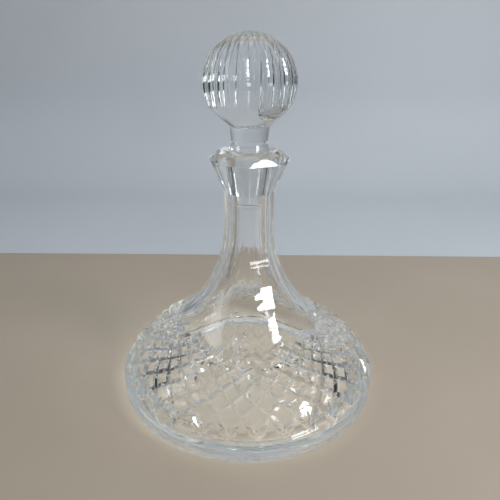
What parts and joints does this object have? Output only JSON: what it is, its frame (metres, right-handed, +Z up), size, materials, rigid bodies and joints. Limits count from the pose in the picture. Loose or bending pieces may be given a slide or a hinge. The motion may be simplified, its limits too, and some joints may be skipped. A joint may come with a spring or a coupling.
{
  "type": "cut crystal decanter",
  "caption": "Wide-based cut crystal decanter with panelled neck, faceted collar and a fluted ball stopper that lifts out of its ground seat.",
  "frame": {"origin": "centre of the foot, on the surface the decanter stands on", "axes": "+Z up the axis of the neck and stopper; the corners of the eight neck panels fall on +X, +Y, -X and -Y"},
  "size_m": [0.192, 0.192, 0.258],
  "materials": {
    "body_crystal": "cut and polished lead crystal, ground seat in the mouth",
    "stopper_crystal": "cut and polished lead crystal, ground plug"
  },
  "bodies": {
    "decanter": {"decanter_body": "body_crystal"},
    "stopper": {"stopper": "stopper_crystal"}
  },
  "joints": [
    {"name": "stopper_lift", "type": "slide", "parent": "decanter", "child": "stopper", "axis": [0, 0, 1], "range_m": [0, 0.06]}
  ]
}
